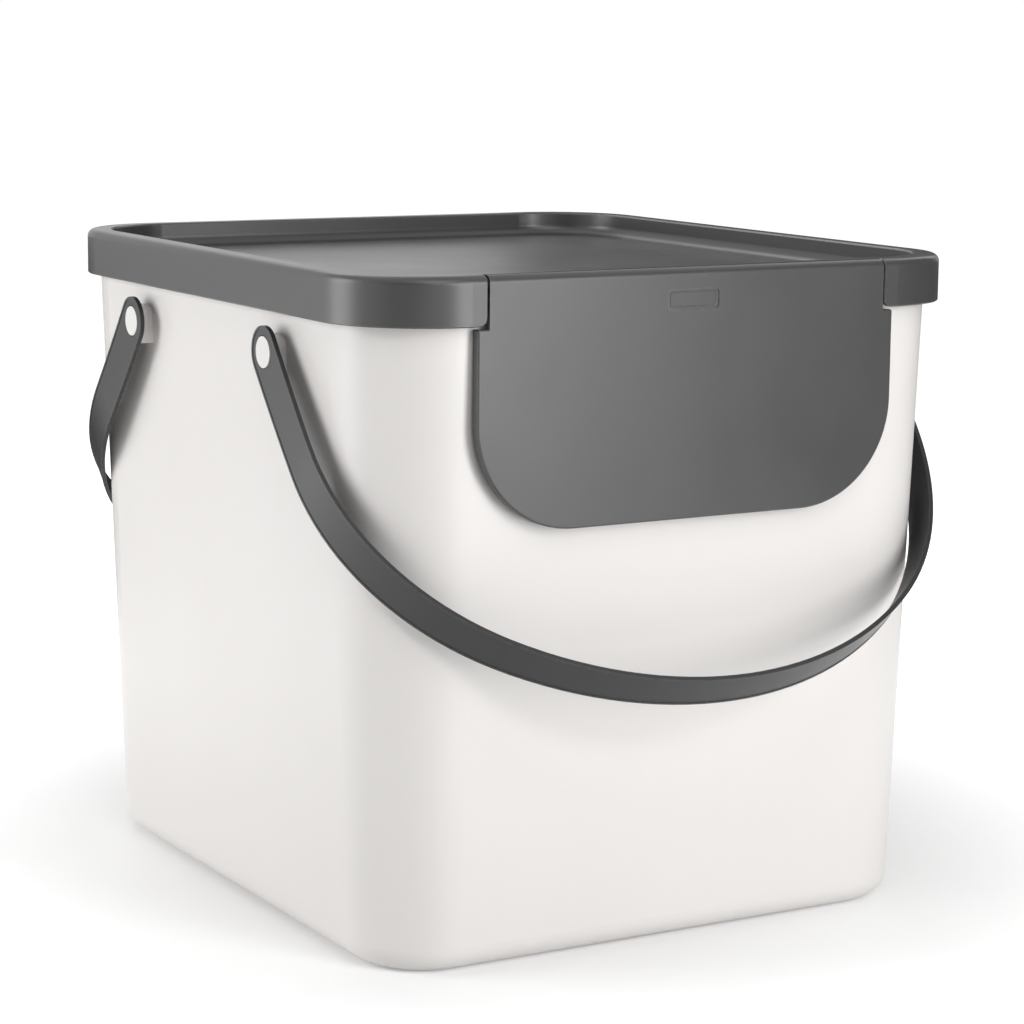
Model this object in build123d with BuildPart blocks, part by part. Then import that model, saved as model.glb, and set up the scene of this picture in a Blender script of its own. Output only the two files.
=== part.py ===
from build123d import *
from math import atan2, cos, degrees, radians, sin
import os

# Stackable recycling bin with a lift-off lid, a throw-in flap and two strap handles.
# All lengths are millimetres. X runs across the front, Y to the back, Z up.
# The origin is at the middle of the face that the bin stands on.

# Lid moulding
lid_width = 348.0
lid_depth = 384.0
lid_corner_radius = 52.0
bin_height = 340.0
lid_wall = 2.5
skirt_height = 24.0
rim_edge_round = 4.0
rim_shelf_width = 12.0
skirt_end_round = 4.5
skirt_edge_chamfer = 0.5

# Tray in the lid's top, which takes the base of a second bin
tray_depth = 13.0
tray_corner_radius = 45.0
tray_draft = 3.0
tray_floor_round = 6.0
tray_outer_chamfer = 5.0
tray_mouth_chamfer = 0.8
rib_height = 4.0
rib_thickness = 1.6
rib_pitch = 64.0
rib_margin = 14.0

# Bin moulding
wall_lean = 11.5
base_corner_radius = 40.0
base_edge_round = 13.0
body_wall = 2.5
rim_flange = 2.2
rim_thickness = 2.5
rim_lip_depth = 8.0
rim_lip_thickness = 1.6
foot_width = 8.0
foot_height = 2.0

# Throw-in opening in the front wall
opening_width = 208.0
opening_sill = 232.0
opening_corner_radius = 48.0

# Throw-in flap
panel_width = 238.0
panel_corner_radius = 53.0
panel_bottom = 217.5
shoulder_gap = 1.2
shoulder_round = 1.2
tab_width = 225.8
flap_thickness = 2.5
flap_flange_thickness = 2.2
flap_flange_depth = 5.0
flap_edge_round = 1.0
plate_recess_width = 29.0
plate_recess_height = 9.8
plate_recess_depth = 0.5
plate_recess_drop = 15.4
plate_recess_round = 2.0

# Hinge of the flap
hinge_pin_radius = 2.2
hinge_pin_length = 4.4
cheek_width = 6.0
cheek_height = 12.0
cheek_reach = 9.0

# Strap handles and their pivots
pivot_spacing = 164.0
pivot_drop = 43.8
strap_reach = 217.5
strap_thickness = 2.3
strap_bow_width = 21.4
strap_bend = 6.0
arm_straight = 62.6
side_bow_radius = 145.0
rest_tilt = 44.3
eye_radius = 13.0
strap_lip_width = 1.3
strap_lip_depth = 0.3

# Pivot bosses on the side walls
boss_width = 12.0
boss_rise = 9.0
boss_drop = 11.5
boss_plate = 3.0
boss_wall = 1.5
boss_chamfer = 0.6

# Push-in pivot studs
stud_shaft_radius = 3.2
stud_head_radius = 7.8
stud_head_thickness = 1.1
stud_barb_radius = 4.1
stud_barb_tip_radius = 2.8
stud_barb_length = 3.6
stud_slot_width = 1.6

# Clearances
lid_seat_gap = 0.2
skirt_gap = 0.4
slit_width = 1.0
cheek_clearance = 1.2
barrel_gap = 0.35
hinge_running_gap = 0.08
pin_end_gap = 0.25
strap_gap = 1.0
eye_gap = 0.3
eye_running_gap = 0.08
stud_fit_gap = 0.05
stud_head_gap = 0.6
stud_seat_gap = 0.2

# Levels and widths that follow from the sizes above
skirt_bottom = bin_height - skirt_height
shelf_underside = bin_height - lid_wall
rim_top = shelf_underside - lid_seat_gap
tray_floor = bin_height - tray_depth
rim_inset = lid_wall + skirt_gap + rim_flange
mouth_width = lid_width - 2 * rim_inset
mouth_depth = lid_depth - 2 * rim_inset
rim_outer_radius = lid_corner_radius - lid_wall - skirt_gap
front_face = lid_depth / 2

# The flap turns about the middle of the rim's outer rounding
hinge_y = -(front_face - rim_edge_round)
hinge_z = bin_height - rim_edge_round
barrel_radius = rim_edge_round
gap_half_width = tab_width / 2 + slit_width
cheek_outer = gap_half_width + cheek_width
panel_top = skirt_bottom - shoulder_gap

# The throw-in opening widens at the top and is cut well past the front wall
step_half_width = cheek_outer + cheek_clearance
step_bottom = shelf_underside - cheek_height - cheek_clearance
opening_cut_depth = rim_inset + wall_lean + base_edge_round

# The pivots sit below the lid's skirt, and the straps pass just outside it
pivot_y = pivot_spacing / 2
pivot_height = bin_height - pivot_drop
strap_inner_x = lid_width / 2 + strap_gap
strap_outer_x = strap_inner_x + strap_thickness
boss_face_x = strap_inner_x - eye_gap
boss_inner_x = boss_face_x - boss_plate

# Two tangent arcs make each half of the strap's bow
bow_depth = strap_reach - arm_straight
bow_shoulder = strap_outer_x - side_bow_radius
low_bow_radius = (bow_shoulder**2 + bow_depth**2 - side_bow_radius**2) / (
    2 * (bow_depth - side_bow_radius)
)
shoulder_angle = degrees(atan2(low_bow_radius - bow_depth, bow_shoulder))

# The walls lean out evenly from the base to the mouth
base_width = mouth_width - 2 * wall_lean
base_depth = mouth_depth - 2 * wall_lean
wall_draft = degrees(atan2(wall_lean, rim_top))
cavity_floor = foot_height + body_wall


def lean_at(z):
    """How far the outer walls have leaned out from the base at a height."""
    return wall_lean * z / rim_top


def side_plane(x, y, z):
    """A plane at a point of the side, facing along +X, with its local y up."""
    return Plane(origin=(x, y, z), x_dir=(0, 1, 0), z_dir=(1, 0, 0))


def pivot_points():
    """Side (+1 right, -1 left) and y of each of the four pivots."""
    return [(side, y) for y in (-pivot_y, pivot_y) for side in (-1, 1)]


def boss_outline(inset):
    """Upright boss seen from the side, round above, its sides set in."""
    half = boss_width / 2 - inset
    with BuildSketch() as outline:
        with Locations((0, boss_rise - boss_width / 2)):
            Circle(half)
        with Locations((0, inset - boss_drop)):
            Rectangle(
                2 * half,
                boss_rise + boss_drop - boss_width / 2 - inset,
                align=(Align.CENTER, Align.MIN),
            )
    return outline.sketch


def is_beside_slit(edge):
    """True for an edge that lies at either end of the skirt's front gap."""
    return abs(abs(edge.center().X) - gap_half_width) < slit_width / 2


def is_on_skirt_edge(edge):
    """True for an edge round the bottom of the skirt, on its outer face."""
    middle = edge @ 0.5
    in_arc_x = max(abs(middle.X) - lid_width / 2 + lid_corner_radius, 0)
    in_arc_y = max(abs(middle.Y) - lid_depth / 2 + lid_corner_radius, 0)
    reach = (in_arc_x**2 + in_arc_y**2) ** 0.5
    is_low = middle.Z < skirt_bottom + skirt_end_round / 2
    return is_low and reach > lid_corner_radius - lid_wall / 2


def is_on_panel(edge):
    """True for an edge of the flap that lies below the lid's skirt."""
    return edge.center().Z < panel_top + shoulder_round


def tub_form(inset, floor_z, edge_round):
    """Drafted tub shape with a rounded foot, its walls set in from the outer faces."""
    grow = lean_at(floor_z) - inset
    with BuildPart() as form:
        with BuildSketch(Plane.XY.offset(floor_z)):
            RectangleRounded(
                base_width + 2 * grow, base_depth + 2 * grow, base_corner_radius + grow
            )
        extrude(amount=rim_top - floor_z)
        draft(form.faces().filter_by(Axis.Z, reverse=True), Plane.XY.offset(floor_z), -wall_draft)
        fillet(form.faces().sort_by(Axis.Z)[0].edges(), edge_round)
    return form.part


def tray_form(grow):
    """Drafted block for the tray, or for its outside with a bevelled floor edge."""
    with BuildPart() as form:
        with BuildSketch(Plane.XY.offset(bin_height)):
            RectangleRounded(
                lid_width - 2 * (rim_shelf_width - grow),
                lid_depth - 2 * (rim_shelf_width - grow),
                tray_corner_radius + grow,
            )
        extrude(amount=-(tray_depth + grow))
        draft(form.faces().filter_by(Axis.Z, reverse=True), Plane.XY.offset(bin_height), -tray_draft)
        floor_edges = form.faces().sort_by(Axis.Z)[0].edges()
        if grow > 0:
            chamfer(floor_edges, tray_outer_chamfer)
        else:
            fillet(floor_edges, tray_floor_round)
    return form.part


# Bin moulding: a drafted tub with a hooked rim, a throw-in opening and pivot bosses
with BuildPart() as bin_body:
    add(tub_form(0, 0, base_edge_round))
    add(tub_form(body_wall, cavity_floor, base_edge_round - body_wall), mode=Mode.SUBTRACT)

    # The middle of the base is raised, so the bin stands on a ring
    recess_inset = base_edge_round + foot_width
    with BuildSketch(Plane.XY):
        RectangleRounded(
            base_width - 2 * recess_inset,
            base_depth - 2 * recess_inset,
            base_corner_radius - recess_inset,
        )
    extrude(amount=foot_height, mode=Mode.SUBTRACT)

    # Rim: a narrow flange with a lip turned down, which the lid's skirt covers
    rim_outer_width = mouth_width + 2 * rim_flange
    rim_outer_depth = mouth_depth + 2 * rim_flange
    with BuildSketch(Plane.XY.offset(rim_top)):
        RectangleRounded(rim_outer_width, rim_outer_depth, rim_outer_radius)
        RectangleRounded(
            mouth_width - body_wall,
            mouth_depth - body_wall,
            base_corner_radius + wall_lean - body_wall / 2,
            mode=Mode.SUBTRACT,
        )
    extrude(amount=-rim_thickness)
    with BuildSketch(Plane.XY.offset(rim_top)):
        RectangleRounded(rim_outer_width, rim_outer_depth, rim_outer_radius)
        RectangleRounded(
            rim_outer_width - 2 * rim_lip_thickness,
            rim_outer_depth - 2 * rim_lip_thickness,
            rim_outer_radius - rim_lip_thickness,
            mode=Mode.SUBTRACT,
        )
    extrude(amount=-rim_lip_depth)

    # Pivot bosses: narrow, round above and square below, cored out from the inside
    boss_root_x = base_width / 2 + lean_at(pivot_height) - body_wall / 2
    for side, y in pivot_points():
        with BuildSketch(side_plane(side * boss_face_x, y, pivot_height)):
            add(boss_outline(0))
        extrude(amount=-side * (boss_face_x - boss_root_x))
    boss_faces = bin_body.faces().filter_by(Axis.X).group_by(Axis.X)
    chamfer(boss_faces[0].edges() + boss_faces[-1].edges(), boss_chamfer)
    for side, y in pivot_points():
        with BuildSketch(side_plane(side * boss_inner_x, y, pivot_height)):
            add(boss_outline(boss_wall))
        extrude(amount=-side * (boss_inner_x - boss_root_x + 2 * body_wall), mode=Mode.SUBTRACT)
        with BuildSketch(side_plane(side * boss_face_x, y, pivot_height)):
            Circle(stud_shaft_radius + stud_fit_gap)
        extrude(amount=-side * boss_plate, mode=Mode.SUBTRACT)

    # Throw-in opening, with a wider step at the top for the hinge cheeks
    with BuildSketch(Plane.XZ.offset(front_face)):
        with Locations((0, opening_sill)):
            Rectangle(opening_width, bin_height - opening_sill, align=(Align.CENTER, Align.MIN))
        fillet(vertices().group_by(Axis.Y)[0], opening_corner_radius)
        with Locations((0, step_bottom)):
            Rectangle(
                2 * step_half_width, bin_height - step_bottom, align=(Align.CENTER, Align.MIN)
            )
    extrude(amount=-opening_cut_depth, mode=Mode.SUBTRACT)

# Lid moulding: skirt, flat rim and sunk tray in one even wall
with BuildPart() as lid:
    with BuildSketch(Plane.XY.offset(skirt_bottom)):
        RectangleRounded(lid_width, lid_depth, lid_corner_radius)
    extrude(amount=skirt_height)
    fillet(lid.faces().sort_by(Axis.Z)[-1].edges(), rim_edge_round)
    with BuildSketch(Plane.XY.offset(skirt_bottom)):
        RectangleRounded(
            lid_width - 2 * lid_wall, lid_depth - 2 * lid_wall, lid_corner_radius - lid_wall
        )
    extrude(amount=skirt_height - lid_wall, mode=Mode.SUBTRACT)
    add(tray_form(lid_wall))
    add(tray_form(0), mode=Mode.SUBTRACT)
    mouth_face = lid.faces().filter_by(Axis.Z).sort_by(Axis.Z)[-1]
    chamfer(mouth_face.inner_wires().edges(), tray_mouth_chamfer)

    # Stiffening ribs under the tray
    rib_top = tray_floor - lid_wall
    rib_span_x = lid_width - 2 * (rim_shelf_width + rib_margin)
    rib_span_y = lid_depth - 2 * (rim_shelf_width + rib_margin)
    rib_count_x = int(rib_span_x // rib_pitch) + 1
    rib_count_y = int(rib_span_y // rib_pitch) + 1
    with BuildSketch(Plane.XY.offset(rib_top)):
        with GridLocations(rib_pitch, 0, rib_count_x, 1):
            Rectangle(rib_thickness, rib_span_y)
        with GridLocations(0, rib_pitch, 1, rib_count_y):
            Rectangle(rib_span_x, rib_thickness)
    extrude(amount=-rib_height)

    # Gap in the front of the skirt, cleared round the flap's rounded top edge
    with BuildSketch(Plane.XZ.offset(front_face)):
        with Locations((0, skirt_bottom)):
            Rectangle(2 * gap_half_width, skirt_height, align=(Align.CENTER, Align.MIN))
    extrude(amount=-rim_edge_round, mode=Mode.SUBTRACT)
    with BuildSketch(side_plane(-gap_half_width, hinge_y, hinge_z)):
        Circle(barrel_radius + barrel_gap)
    extrude(amount=2 * gap_half_width, mode=Mode.SUBTRACT)
    slit_edges = lid.edges().filter_by(Axis.Y).filter_by(is_beside_slit)
    fillet(slit_edges.group_by(Axis.Z)[0], skirt_end_round)
    chamfer(lid.edges().filter_by(is_on_skirt_edge), skirt_edge_chamfer)

    # Cheeks with blind sockets for the flap's pins
    for side in (-1, 1):
        with BuildSketch(side_plane(side * gap_half_width, -front_face, shelf_underside)):
            with Locations((lid_wall / 2, lid_wall / 2)):
                Rectangle(
                    cheek_reach, cheek_height + lid_wall / 2, align=(Align.MIN, Align.MAX)
                )
        extrude(amount=side * cheek_width)
        with BuildSketch(side_plane(side * gap_half_width, hinge_y, hinge_z)):
            Circle(hinge_pin_radius + hinge_running_gap)
        extrude(amount=side * hinge_pin_length, mode=Mode.SUBTRACT)

# Throw-in flap: a sheet with a return edge, a rounded top and two moulded pins
with BuildPart() as front_flap:
    with BuildSketch(Plane.XZ.offset(front_face)) as flap_outline:
        with Locations((0, panel_bottom)):
            Rectangle(panel_width, panel_top - panel_bottom, align=(Align.CENTER, Align.MIN))
        fillet(vertices().group_by(Axis.Y)[0], panel_corner_radius)
        fillet(vertices().group_by(Axis.Y)[-1], shoulder_round)
    extrude(amount=-flap_thickness)
    with BuildSketch(Plane.XZ.offset(front_face)):
        add(flap_outline.sketch)
        offset(flap_outline.sketch, amount=-flap_flange_thickness, mode=Mode.SUBTRACT)
    extrude(amount=-flap_flange_depth)
    tab_height = hinge_z - panel_top + 2 * shoulder_round
    with BuildSketch(Plane.XZ.offset(front_face)):
        with Locations((0, hinge_z)):
            Rectangle(tab_width, tab_height, align=(Align.CENTER, Align.MAX))
    extrude(amount=-flap_thickness)
    with BuildSketch(side_plane(-tab_width / 2, hinge_y, hinge_z)):
        Circle(barrel_radius)
    extrude(amount=tab_width)
    pin_reach = slit_width + hinge_pin_length - pin_end_gap
    with BuildSketch(side_plane(-tab_width / 2 - pin_reach, hinge_y, hinge_z)):
        Circle(hinge_pin_radius)
    extrude(amount=tab_width + 2 * pin_reach)
    panel_face = front_flap.faces().filter_by(Axis.Y).sort_by(Axis.Y)[0]
    fillet(panel_face.outer_wire().edges().filter_by(is_on_panel), flap_edge_round)
    with BuildSketch(Plane.XZ.offset(front_face)):
        with Locations((0, bin_height - plate_recess_drop)):
            RectangleRounded(plate_recess_width, plate_recess_height, plate_recess_round)
    extrude(amount=-plate_recess_depth, mode=Mode.SUBTRACT)


def strap_outline(inset):
    """Filled U of a strap in its own plane, set in from the outer face."""
    arm_x = strap_outer_x - inset
    with BuildSketch() as outline:
        with BuildLine():
            arm = Line((-arm_x, eye_radius), (-arm_x, -arm_straight))
            left = JernArc(arm @ 1, arm % 1, side_bow_radius - inset, shoulder_angle)
            low = JernArc(left @ 1, left % 1, low_bow_radius - inset, 180 - 2 * shoulder_angle)
            right = JernArc(low @ 1, low % 1, side_bow_radius - inset, shoulder_angle)
            other_arm = Line(right @ 1, (arm_x, eye_radius))
            Line(other_arm @ 1, arm @ 0)
        make_face()
    return outline.sketch


def strap_form(end, thickness, edge_inset):
    """Band of a strap at rest, of a thickness measured in from its outer face."""
    lean = radians(rest_tilt)
    pivot = (0, end * pivot_y, pivot_height)
    arm_direction = (0, end * sin(lean), -cos(lean))
    strap_plane = Plane(origin=pivot, x_dir=(1, 0, 0), z_dir=(0, -cos(lean), -end * sin(lean)))
    with BuildPart() as form:
        with BuildSketch(strap_plane):
            add(strap_outline(0))
            add(strap_outline(thickness), mode=Mode.SUBTRACT)
        extrude(amount=2 * eye_radius, both=True)

        # Seen from the side a strap is round at the eye, then bends and tapers to its bow
        eye = eye_radius - edge_inset
        tip = strap_bow_width / 2 - edge_inset
        tip_x = strap_reach + strap_thickness
        sag = -end * strap_bend
        turn = atan2(4 * sag, tip_x)
        eye_x = -eye * sin(turn)
        eye_y = eye * cos(turn)
        middle = (eye + tip) / 2
        with BuildSketch(Plane(origin=pivot, x_dir=arm_direction, z_dir=(1, 0, 0))):
            with BuildLine():
                ThreePointArc((eye_x, eye_y), (tip_x / 2, sag + middle), (tip_x, tip))
                Line((tip_x, tip), (tip_x, -tip))
                ThreePointArc((tip_x, -tip), (tip_x / 2, sag - middle), (-eye_x, -eye_y))
                Line((-eye_x, -eye_y), (eye_x, eye_y))
            make_face()
            Circle(eye)
        extrude(amount=2 * strap_outer_x, both=True, mode=Mode.INTERSECT)
    return form.part


def strap_handle(end):
    """One strap handle at rest: end -1 hangs to the front, +1 to the back."""
    with BuildPart() as handle:
        add(strap_form(end, strap_thickness, 0))

        # The outer face lies a little below its edges
        add(strap_form(end, strap_lip_depth, strap_lip_width), mode=Mode.SUBTRACT)
        for side in (-1, 1):
            eye_plane = side_plane(side * strap_outer_x, end * pivot_y, pivot_height)
            with BuildSketch(eye_plane):
                Circle(stud_head_radius + stud_head_gap)
            extrude(amount=-side * (stud_head_thickness + stud_seat_gap), mode=Mode.SUBTRACT)
            with BuildSketch(eye_plane):
                Circle(stud_shaft_radius + eye_running_gap)
            extrude(amount=-side * strap_thickness, mode=Mode.SUBTRACT)
    return handle


def pivot_stud(side, y):
    """Push-in stud: round head, shaft and a slotted barb that snaps behind the boss."""
    barb_start = boss_inner_x - stud_seat_gap
    barb_end = barb_start - stud_barb_length
    head_inner = strap_outer_x - stud_head_thickness
    with BuildPart() as stud:
        profile = Plane(origin=(0, y, pivot_height), x_dir=(side, 0, 0), z_dir=(0, -side, 0))
        with BuildSketch(profile):
            with BuildLine():
                Polyline(
                    (barb_end, 0),
                    (barb_end, stud_barb_tip_radius),
                    (barb_start, stud_barb_radius),
                    (barb_start, stud_shaft_radius),
                    (head_inner, stud_shaft_radius),
                    (head_inner, stud_head_radius),
                    (strap_outer_x, stud_head_radius),
                    (strap_outer_x, 0),
                    close=True,
                )
            make_face()
        revolve(axis=Axis((0, y, pivot_height), (1, 0, 0)))
        with BuildSketch(side_plane(side * barb_end, y, pivot_height)):
            Rectangle(2 * stud_barb_radius, stud_slot_width)
        extrude(amount=side * (boss_face_x - barb_end - stud_seat_gap), mode=Mode.SUBTRACT)
    return stud


front_handle = strap_handle(-1)
rear_handle = strap_handle(1)

pieces = {
    "bin_body": bin_body,
    "lid": lid,
    "front_flap": front_flap,
    "front_handle": front_handle,
    "rear_handle": rear_handle,
}
for side, y in pivot_points():
    place = ("front" if y < 0 else "rear") + ("_left" if side < 0 else "_right")
    pieces[place.replace("_", "_pivot_")] = pivot_stud(side, y)

os.makedirs("parts", exist_ok=True)
for name, piece in pieces.items():
    piece.part.label = name
    export_step(piece.part, f"parts/{name}.step")
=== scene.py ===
import math

import bpy
from mathutils import Matrix, Vector


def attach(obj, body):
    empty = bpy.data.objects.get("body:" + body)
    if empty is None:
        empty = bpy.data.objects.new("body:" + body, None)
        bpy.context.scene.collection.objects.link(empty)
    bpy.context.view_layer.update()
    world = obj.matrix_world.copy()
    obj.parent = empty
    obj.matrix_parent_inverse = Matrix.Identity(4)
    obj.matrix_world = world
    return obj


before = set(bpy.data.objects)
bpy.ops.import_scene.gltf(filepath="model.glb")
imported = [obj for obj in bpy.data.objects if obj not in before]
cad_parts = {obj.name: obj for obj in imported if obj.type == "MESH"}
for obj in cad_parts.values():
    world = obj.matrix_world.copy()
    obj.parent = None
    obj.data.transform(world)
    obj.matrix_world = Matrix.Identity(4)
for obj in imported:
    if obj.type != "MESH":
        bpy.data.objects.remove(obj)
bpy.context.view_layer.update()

# Bin moulding
# The real piece is one deep injection moulding in warm white polypropylene.
# Its tool is finely spark-eroded, so the wall has a soft satin grain, and the
# flow of the plastic leaves very faint cloudy bands in the tone.


def add_sockets(group, inputs, outputs):
    """Gives a shader group its named inputs, with their values, and its outputs."""
    for name, value in inputs.items():
        socket = group.interface.new_socket(name, in_out="INPUT", socket_type="NodeSocketFloat")
        socket.default_value = value
    for name in outputs:
        group.interface.new_socket(name, in_out="OUTPUT", socket_type="NodeSocketFloat")


def noise_at(nodes, links, place, scale, detail, roughness=0.5):
    """A noise texture at a place, whose scale is a socket that counts per metre."""
    noise = nodes.new("ShaderNodeTexNoise")
    noise.inputs["Detail"].default_value = detail
    noise.inputs["Roughness"].default_value = roughness
    links.new(place, noise.inputs["Vector"])
    links.new(scale, noise.inputs["Scale"])
    return noise.outputs["Fac"]


def calculate(nodes, links, operation, *values, clamp=False):
    """A math node on sockets."""
    node = nodes.new("ShaderNodeMath")
    node.operation = operation
    node.use_clamp = clamp
    for index, value in enumerate(values):
        links.new(value, node.inputs[index])
    return node.outputs[0]


def remap(nodes, links, value, reads, gives, curve="LINEAR"):
    """Turns the span that a value reads into the span that it gives."""
    node = nodes.new("ShaderNodeMapRange")
    node.interpolation_type = curve
    for socket, limit in zip(("From Min", "From Max", "To Min", "To Max"), (*reads, *gives)):
        node.inputs[socket].default_value = limit
    links.new(value, node.inputs["Value"])
    return node.outputs["Result"]


def make_grain_group():
    """Moulded grain: fine spark-eroded pits, slow waves of the wall, and cloudy flow bands."""
    group = bpy.data.node_groups.new("moulded_grain", "ShaderNodeTree")
    add_sockets(
        group,
        {
            "Pits per metre": 1230.0,
            "Waves per metre": 9.0,
            "Wave share": 0.3,
            "Clouds per metre": 13.0,
            "Gloss specks per metre": 230.0,
            "Gloss patches per metre": 17.0,
            "Speck share": 0.4,
        },
        ("Height", "Cloud", "Sheen"),
    )
    nodes, links = group.nodes, group.links
    given = nodes.new("NodeGroupInput").outputs
    made = nodes.new("NodeGroupOutput").inputs
    place = nodes.new("ShaderNodeTexCoord").outputs["Object"]
    pits = noise_at(nodes, links, place, given["Pits per metre"], detail=3.0, roughness=0.6)
    waves = noise_at(nodes, links, place, given["Waves per metre"], detail=1.0)
    slow = calculate(nodes, links, "MULTIPLY", waves, given["Wave share"])
    links.new(calculate(nodes, links, "ADD", pits, slow), made["Height"])
    clouds = noise_at(nodes, links, place, given["Clouds per metre"], detail=3.0, roughness=0.45)
    links.new(clouds, made["Cloud"])
    specks = noise_at(
        nodes, links, place, given["Gloss specks per metre"], detail=4.0, roughness=0.6
    )
    patches = noise_at(nodes, links, place, given["Gloss patches per metre"], detail=2.0)
    sheen = calculate(nodes, links, "MULTIPLY_ADD", specks, given["Speck share"], patches)
    links.new(sheen, made["Sheen"])
    return group


def make_edge_wear_and_highlight_group():
    """Edge wear and painted edge highlight: a mask along convex edges and corners, broken up by
    small scuffs.
    """
    group = bpy.data.node_groups.new("edge_wear_and_painted_highlight", "ShaderNodeTree")
    add_sockets(
        group,
        {
            "Reach": 0.0012,
            "Scuffs per metre": 420.0,
            "Scuff contrast": 2.4,
            "Scuff offset": -0.7,
        },
        ("Mask",),
    )
    nodes, links = group.nodes, group.links
    given = nodes.new("NodeGroupInput").outputs
    made = nodes.new("NodeGroupOutput").inputs
    rounded = nodes.new("ShaderNodeBevel")
    rounded.samples = 4
    links.new(given["Reach"], rounded.inputs["Radius"])
    plain = nodes.new("ShaderNodeNewGeometry")
    turned = nodes.new("ShaderNodeVectorMath")
    turned.operation = "DOT_PRODUCT"
    links.new(rounded.outputs["Normal"], turned.inputs[0])
    links.new(plain.outputs["Normal"], turned.inputs[1])
    nearly_flat, well_rounded = 0.999, 0.9
    edge = remap(nodes, links, turned.outputs["Value"], (nearly_flat, well_rounded), (0, 1))
    place = nodes.new("ShaderNodeTexCoord").outputs["Object"]
    scuffs = noise_at(nodes, links, place, given["Scuffs per metre"], detail=3.0, roughness=0.65)
    patchy = calculate(
        nodes,
        links,
        "MULTIPLY_ADD",
        scuffs,
        given["Scuff contrast"],
        given["Scuff offset"],
        clamp=True,
    )
    # The mask paints convex edges paler: partly rubbed wear, partly a painted edge highlight.
    links.new(calculate(nodes, links, "MULTIPLY", edge, patchy), made["Mask"])
    return group


grain_group = make_grain_group()
edge_wear_and_highlight_group = make_edge_wear_and_highlight_group()


def place_group(nodes, group):
    """Places a shader group in a material and gives its outputs."""
    node = nodes.new("ShaderNodeGroup")
    node.node_tree = group
    return node.outputs


def blend_colours(nodes, links, mask, low, high):
    """A colour that goes from low, a socket or three numbers, to the colour high."""
    mix = nodes.new("ShaderNodeMix")
    mix.data_type = "RGBA"
    links.new(mask, mix.inputs["Factor"])
    if isinstance(low, tuple):
        mix.inputs["A"].default_value = (*low, 1)
    else:
        links.new(low, mix.inputs["A"])
    mix.inputs["B"].default_value = (*high, 1)
    return mix.outputs["Result"]


def moulded_plastic(name, light, dark, edge_wear_and_highlight, gloss, specular):
    """A moulded plastic: two close tones, a paler edge that is partly rubbed wear and partly a
    painted highlight, and a satin grain.
    """
    sheen_span = (0.4, 1.0)
    grain_depth = 0.00001
    material = bpy.data.materials.new(name)
    material.use_nodes = True
    nodes, links = material.node_tree.nodes, material.node_tree.links
    surface = nodes["Principled BSDF"].inputs
    surface["Specular IOR Level"].default_value = specular
    grain = place_group(nodes, grain_group)
    wear_and_highlight = place_group(nodes, edge_wear_and_highlight_group)
    tone = blend_colours(nodes, links, grain["Cloud"], dark, light)
    # Convex edges get a paler tone: partly rubbed wear, partly a painted edge highlight.
    worn_and_highlighted = blend_colours(nodes, links, wear_and_highlight["Mask"], tone, edge_wear_and_highlight)
    links.new(worn_and_highlighted, surface["Base Color"])
    links.new(remap(nodes, links, grain["Sheen"], sheen_span, gloss), surface["Roughness"])
    bump = nodes.new("ShaderNodeBump")
    bump.inputs["Distance"].default_value = grain_depth
    links.new(grain["Height"], bump.inputs["Height"])
    links.new(bump.outputs["Normal"], surface["Normal"])
    return material


def finish_node(node, material):
    """Gives a CAD node its real finish."""
    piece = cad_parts[node]
    piece.data.materials.clear()
    piece.data.materials.append(material)


white_satin = moulded_plastic(
    "white_satin_plastic",
    light=(0.83, 0.808, 0.79),
    dark=(0.80, 0.776, 0.757),
    edge_wear_and_highlight=(0.85, 0.84, 0.82),
    gloss=(0.3, 0.4),
    specular=0.5,
)
finish_node("bin_body", white_satin)

# Strap handles
# Each is a springy U-shaped strap moulded in a darker grey polypropylene. The
# outer face is sunk a little between two raised edges, and has a silky gloss.

strap_grey = moulded_plastic(
    "grey_strap_plastic",
    light=(0.031, 0.031, 0.033),
    dark=(0.026, 0.026, 0.028),
    edge_wear_and_highlight=(0.09, 0.09, 0.094),
    gloss=(0.28, 0.38),
    specular=0.45,
)
for handle in ("front_handle", "rear_handle"):
    finish_node(handle, strap_grey)

# Pivot studs
# Four white studs are pushed through the eyes of the straps into the bosses
# of the bin. Only the flat satin heads show, flush with the straps.

stud_white = moulded_plastic(
    "white_stud_plastic",
    light=(0.84, 0.83, 0.81),
    dark=(0.81, 0.80, 0.78),
    edge_wear_and_highlight=(0.86, 0.85, 0.83),
    gloss=(0.32, 0.42),
    specular=0.45,
)
for stud in ("front_pivot_left", "front_pivot_right", "rear_pivot_left", "rear_pivot_right"):
    finish_node(stud, stud_white)

# Lid
# One grey moulding with a satin grain: the skirt, the rim, and the sunk tray
# for the foot of the next bin. It rests on the bin's rim by its own weight.

lid_plastic = {
    "light": (0.064, 0.064, 0.066),
    "dark": (0.056, 0.056, 0.058),
    "edge_wear_and_highlight": (0.13, 0.13, 0.133),
    "gloss": (0.285, 0.375),
    "specular": 0.5,
}
finish_node("lid", moulded_plastic("grey_lid_plastic", **lid_plastic))

# Throw-in flap
# A grey moulding from the same plastic as the lid, hung by its two pins in
# the gap of the skirt. Its outer face carries a small sunk plate, left bare.

flap_grey = moulded_plastic("grey_flap_plastic", **lid_plastic)
finish_node("front_flap", flap_grey)

# Outline of the bare plate
# The plate's tool insert leaves a fine raised bead just inside the edge of
# the recess. It is part of the flap's moulding, and the field in it is plain.

plate_width = 0.0262
plate_height = 0.0070
plate_corner = 0.0014
bead_radius = 0.00028
plate_middle_z = 0.3246
recess_face_y = -0.1915
corner_steps = 6


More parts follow.
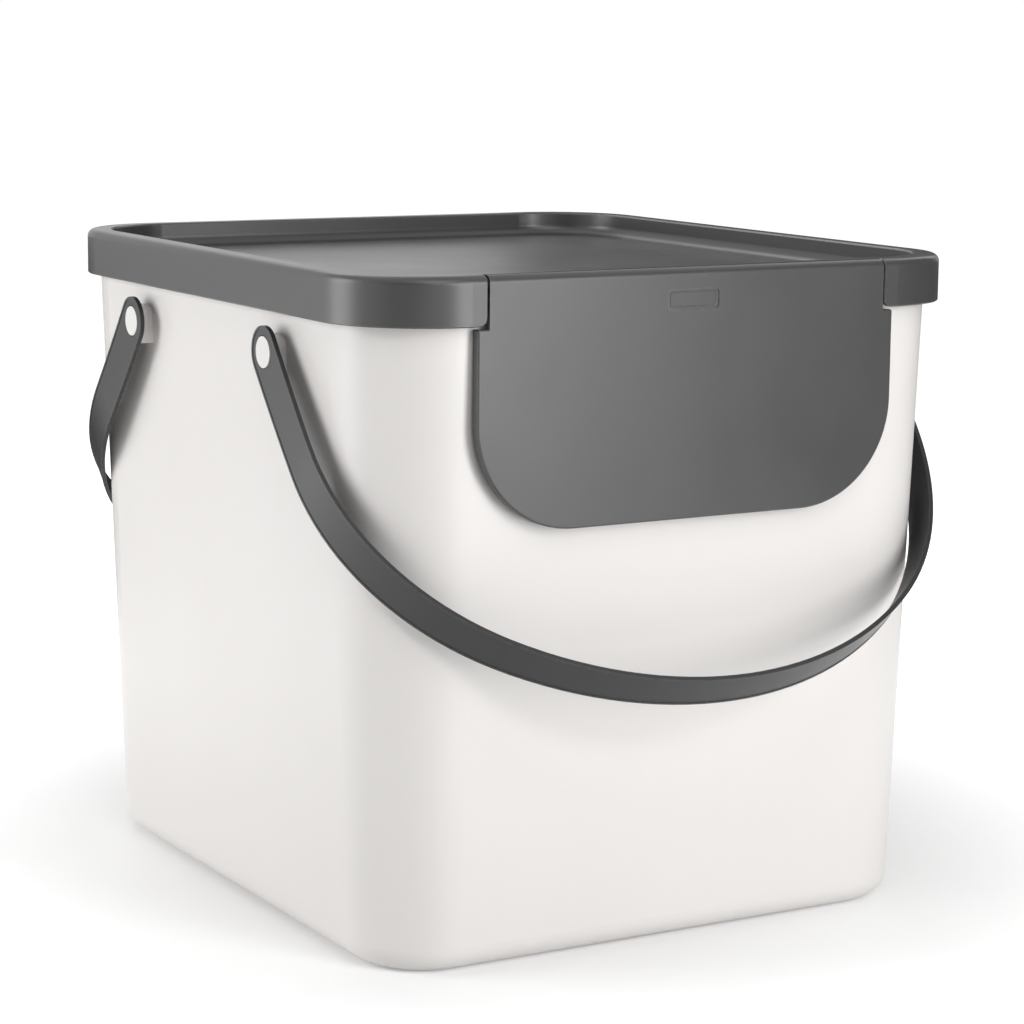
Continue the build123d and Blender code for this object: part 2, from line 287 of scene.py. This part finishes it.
def rounded_outline(width, height, radius, steps):
    """Points round a rectangle with rounded corners, in its own plane."""
    points = []
    for quarter in range(4):
        side_x = 1 if quarter in (0, 3) else -1
        side_y = 1 if quarter in (0, 1) else -1
        for step in range(steps + 1):
            angle = math.radians(90 * (quarter + step / steps))
            points.append(
                (
                    side_x * (width / 2 - radius) + radius * math.cos(angle),
                    side_y * (height / 2 - radius) + radius * math.sin(angle),
                )
            )
    return points


bead_path = bpy.data.curves.new("plate_outline", "CURVE")
bead_path.dimensions = "3D"
bead_path.bevel_depth = bead_radius
bead_path.bevel_resolution = 4
run = bead_path.splines.new("POLY")
outline = rounded_outline(plate_width, plate_height, plate_corner, corner_steps)
run.points.add(len(outline) - 1)
for point, (x, z) in zip(run.points, outline):
    point.co = (x, recess_face_y, plate_middle_z + z, 1)
run.use_cyclic_u = True
plate_outline = bpy.data.objects.new("plate_outline", bead_path)
bpy.context.scene.collection.objects.link(plate_outline)
bead_path.materials.append(flap_grey)
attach(plate_outline, "flap")

# Floor
# A wide pale studio floor. The camera and reflections see it lifted to white,
# less so round the bin, where the smaller lift paints a soft shade on top of the lamps' real
# shadow.


def matt_paint(name, tone):
    """A matt neutral studio paint, and the inputs of its shader."""
    paint = bpy.data.materials.new(name)
    paint.use_nodes = True
    surface = paint.node_tree.nodes["Principled BSDF"].inputs
    surface["Base Color"].default_value = (tone, tone, tone, 1)
    surface["Roughness"].default_value = 0.9
    return paint, surface


def flat_sheet(name, corners, paint):
    """A flat sheet between four corners, in its paint."""
    mesh = bpy.data.meshes.new(name)
    mesh.from_pydata(corners, [], [(0, 1, 2, 3)])
    mesh.materials.append(paint)
    sheet = bpy.data.objects.new(name, mesh)
    bpy.context.scene.collection.objects.link(sheet)
    return sheet


def seen_not_lit_by(nodes, links):
    """1 for the rays of camera, reflections and clear things, and 0 for light on a surface."""
    ray = nodes.new("ShaderNodeLightPath").outputs
    seen = calculate(nodes, links, "ADD", ray["Is Camera Ray"], ray["Is Glossy Ray"])
    return calculate(nodes, links, "ADD", seen, ray["Is Transmission Ray"], clamp=True)


floor_half = 6.0
floor_drop = 0.0002
shadow_reach, lit_reach = 0.1, 0.6
shadow_lift, full_lift = 0.16, 0.95

floor_paint, floor_surface = matt_paint("pale_floor", 0.8)
floor_surface["Specular IOR Level"].default_value = 0.0
floor_surface["Emission Color"].default_value = (1, 1, 1, 1)
floor_nodes, floor_links = floor_paint.node_tree.nodes, floor_paint.node_tree.links
from_bin = floor_nodes.new("ShaderNodeVectorMath")
from_bin.operation = "LENGTH"
floor_place = floor_nodes.new("ShaderNodeTexCoord").outputs["Object"]
floor_links.new(floor_place, from_bin.inputs[0])
# A smaller lift close to the bin: painted shade round its foot.
painted_shade_fade = remap(
    floor_nodes,
    floor_links,
    from_bin.outputs["Value"],
    (shadow_reach, lit_reach),
    (shadow_lift, full_lift),
    curve="SMOOTHSTEP",
)
floor_seen = seen_not_lit_by(floor_nodes, floor_links)
lift = calculate(floor_nodes, floor_links, "MULTIPLY", floor_seen, painted_shade_fade)
floor_links.new(lift, floor_surface["Emission Strength"])

floor = flat_sheet(
    "floor",
    [
        (-floor_half, -floor_half, 0),
        (floor_half, -floor_half, 0),
        (floor_half, floor_half, 0),
        (-floor_half, floor_half, 0),
    ],
    floor_paint,
)
floor.location.z = -floor_drop

# Studio
# A softbox behind the left wall, a small one in front, a high one over the
# camera, and weaker ones overhead, behind and on the right. Black cards keep
# some reflections dark. The world is white where it is seen, and dim as light.

world = bpy.data.worlds.new("studio")
bpy.context.scene.world = world
world.use_nodes = True
world_nodes, world_links = world.node_tree.nodes, world.node_tree.links
world_nodes.clear()


def world_white(strength):
    """A white world of a strength."""
    shade = world_nodes.new("ShaderNodeBackground")
    shade.inputs["Color"].default_value = (1, 1, 1, 1)
    shade.inputs["Strength"].default_value = strength
    return shade.outputs[0]


dim_strength, seen_strength = 0.12, 1.0
either = world_nodes.new("ShaderNodeMixShader")
world_links.new(seen_not_lit_by(world_nodes, world_links), either.inputs["Fac"])
world_links.new(world_white(dim_strength), either.inputs[1])
world_links.new(world_white(seen_strength), either.inputs[2])
world_out = world_nodes.new("ShaderNodeOutputWorld")
world_links.new(either.outputs[0], world_out.inputs["Surface"])

lamp_aim = Vector((0, 0, 0.2))


def softbox(name, place, width, height, watts):
    """A rectangular studio light that points at the middle of the bin."""
    data = bpy.data.lights.new(name, "AREA")
    data.shape = "RECTANGLE"
    data.size = width
    data.size_y = height
    data.energy = watts
    light = bpy.data.objects.new(name, data)
    light.location = place
    light.rotation_mode = "QUATERNION"
    light.rotation_quaternion = (lamp_aim - Vector(place)).to_track_quat("-Z", "Y")
    light.visible_camera = False
    bpy.context.scene.collection.objects.link(light)


softbox("left_strip", (-1.678, 0.678, 0.585), width=0.9, height=1.2, watts=20.8)
softbox("front_strip", (0.31, -1.242, 0.426), width=0.4, height=0.75, watts=8.5)
softbox("high_key", (-0.34, -1.599, 1.672), width=1.2, height=1.2, watts=10.6)
softbox("top_softbox", (-0.524, 0.44, 2.079), width=1.2, height=1.2, watts=2.7)
softbox("high_rear", (0.2, 1.6, 1.9), width=1.0, height=1.0, watts=7.0)
softbox("right_fill", (1.74, 0.47, 1.46), width=1.2, height=1.2, watts=5.4)

card_black, _ = matt_paint("card_black", 0.02)


def dark_card(name, place, width, height):
    """A black studio card, seen only in reflections, that stands facing the object."""
    half = width / 2
    card = flat_sheet(
        name, [(-half, 0, 0), (half, 0, 0), (half, 0, height), (-half, 0, height)], card_black
    )
    card.location = place
    card.rotation_euler.z = math.atan2(place[0], -place[1])
    card.visible_camera = False
    card.visible_shadow = False
    card.visible_diffuse = False


dark_card("right_card", (0.821, -0.369, 0), width=1.5, height=1.2)
dark_card("corner_card", (-1.556, -1.556, 0), width=1.5, height=1.6)
dark_card("low_rear_card", (0, 0.75, 0), width=0.8, height=0.3)
dark_card("low_right_card", (0.614, 0.43, 0), width=0.9, height=0.3)
dark_card("rear_card", (1.388, 1.44, 0), width=1.0, height=1.2)

# Camera
# The photograph was taken from the front left, a little above the lid, with
# a long lens. The values come from a camera fitted to the bin's outlines.

turn = math.radians(29.95)
rise = math.radians(9.48)
roll = math.radians(0.52)
distance = 1.6326
aim = Vector((0.01093, 0.00081, 0.19104))
focal_pixels = 2991.98
image_pixels = 1024

back = Vector(
    (-math.sin(turn) * math.cos(rise), -math.cos(turn) * math.cos(rise), math.sin(rise))
)
level = Vector((0, 0, 1)).cross(back).normalized()
upright = back.cross(level)
right = level * math.cos(roll) + upright * math.sin(roll)
up = upright * math.cos(roll) - level * math.sin(roll)
camera_data = bpy.data.cameras.new("camera")
camera_data.sensor_width = 36
camera_data.lens = focal_pixels * camera_data.sensor_width / image_pixels
camera = bpy.data.objects.new("camera", camera_data)
camera.matrix_world = (
    Matrix.Translation(aim + back * distance) @ Matrix((right, up, back)).transposed().to_4x4()
)
bpy.context.scene.collection.objects.link(camera)
bpy.context.scene.camera = camera

bpy.context.scene.view_settings.view_transform = "Standard"
